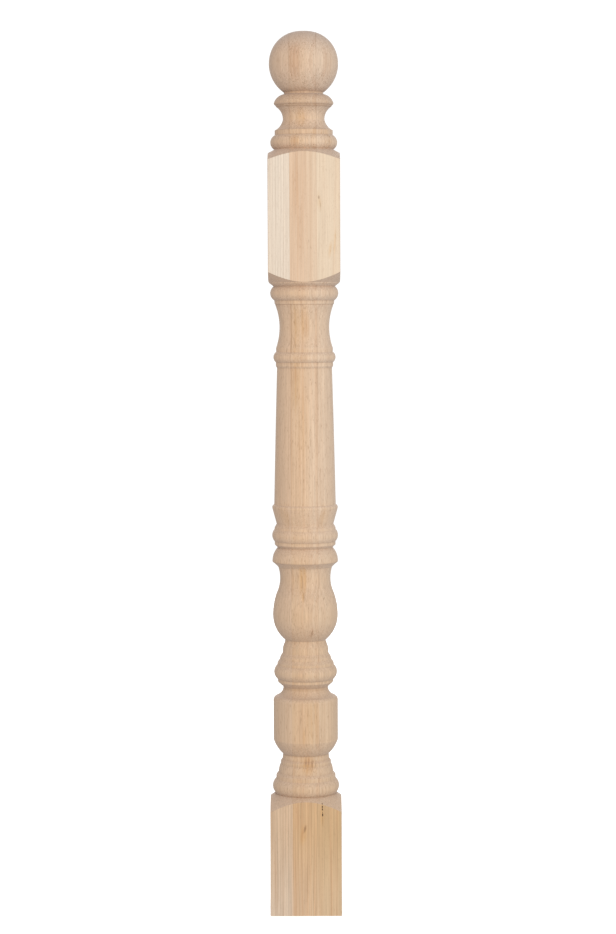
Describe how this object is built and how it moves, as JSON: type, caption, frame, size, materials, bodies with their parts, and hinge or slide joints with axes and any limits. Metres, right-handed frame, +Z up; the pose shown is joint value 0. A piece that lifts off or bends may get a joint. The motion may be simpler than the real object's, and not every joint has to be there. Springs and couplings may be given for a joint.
{
  "type": "newel post",
  "caption": "Turned hardwood stair newel post with a square foot, a vase and tapered column, a square rail block and a ball top.",
  "frame": {"origin": "centre of the foot's underside, on the turning axis", "axes": "+Z up along the turning axis, -Y out of the front face, X and Y square to the blank's flat faces"},
  "size_m": [0.089, 0.089, 1.0979],
  "materials": {
    "wood": "unfinished, planed and turned"
  },
  "bodies": {
    "root": {"newel_post": "wood"}
  },
  "joints": []
}
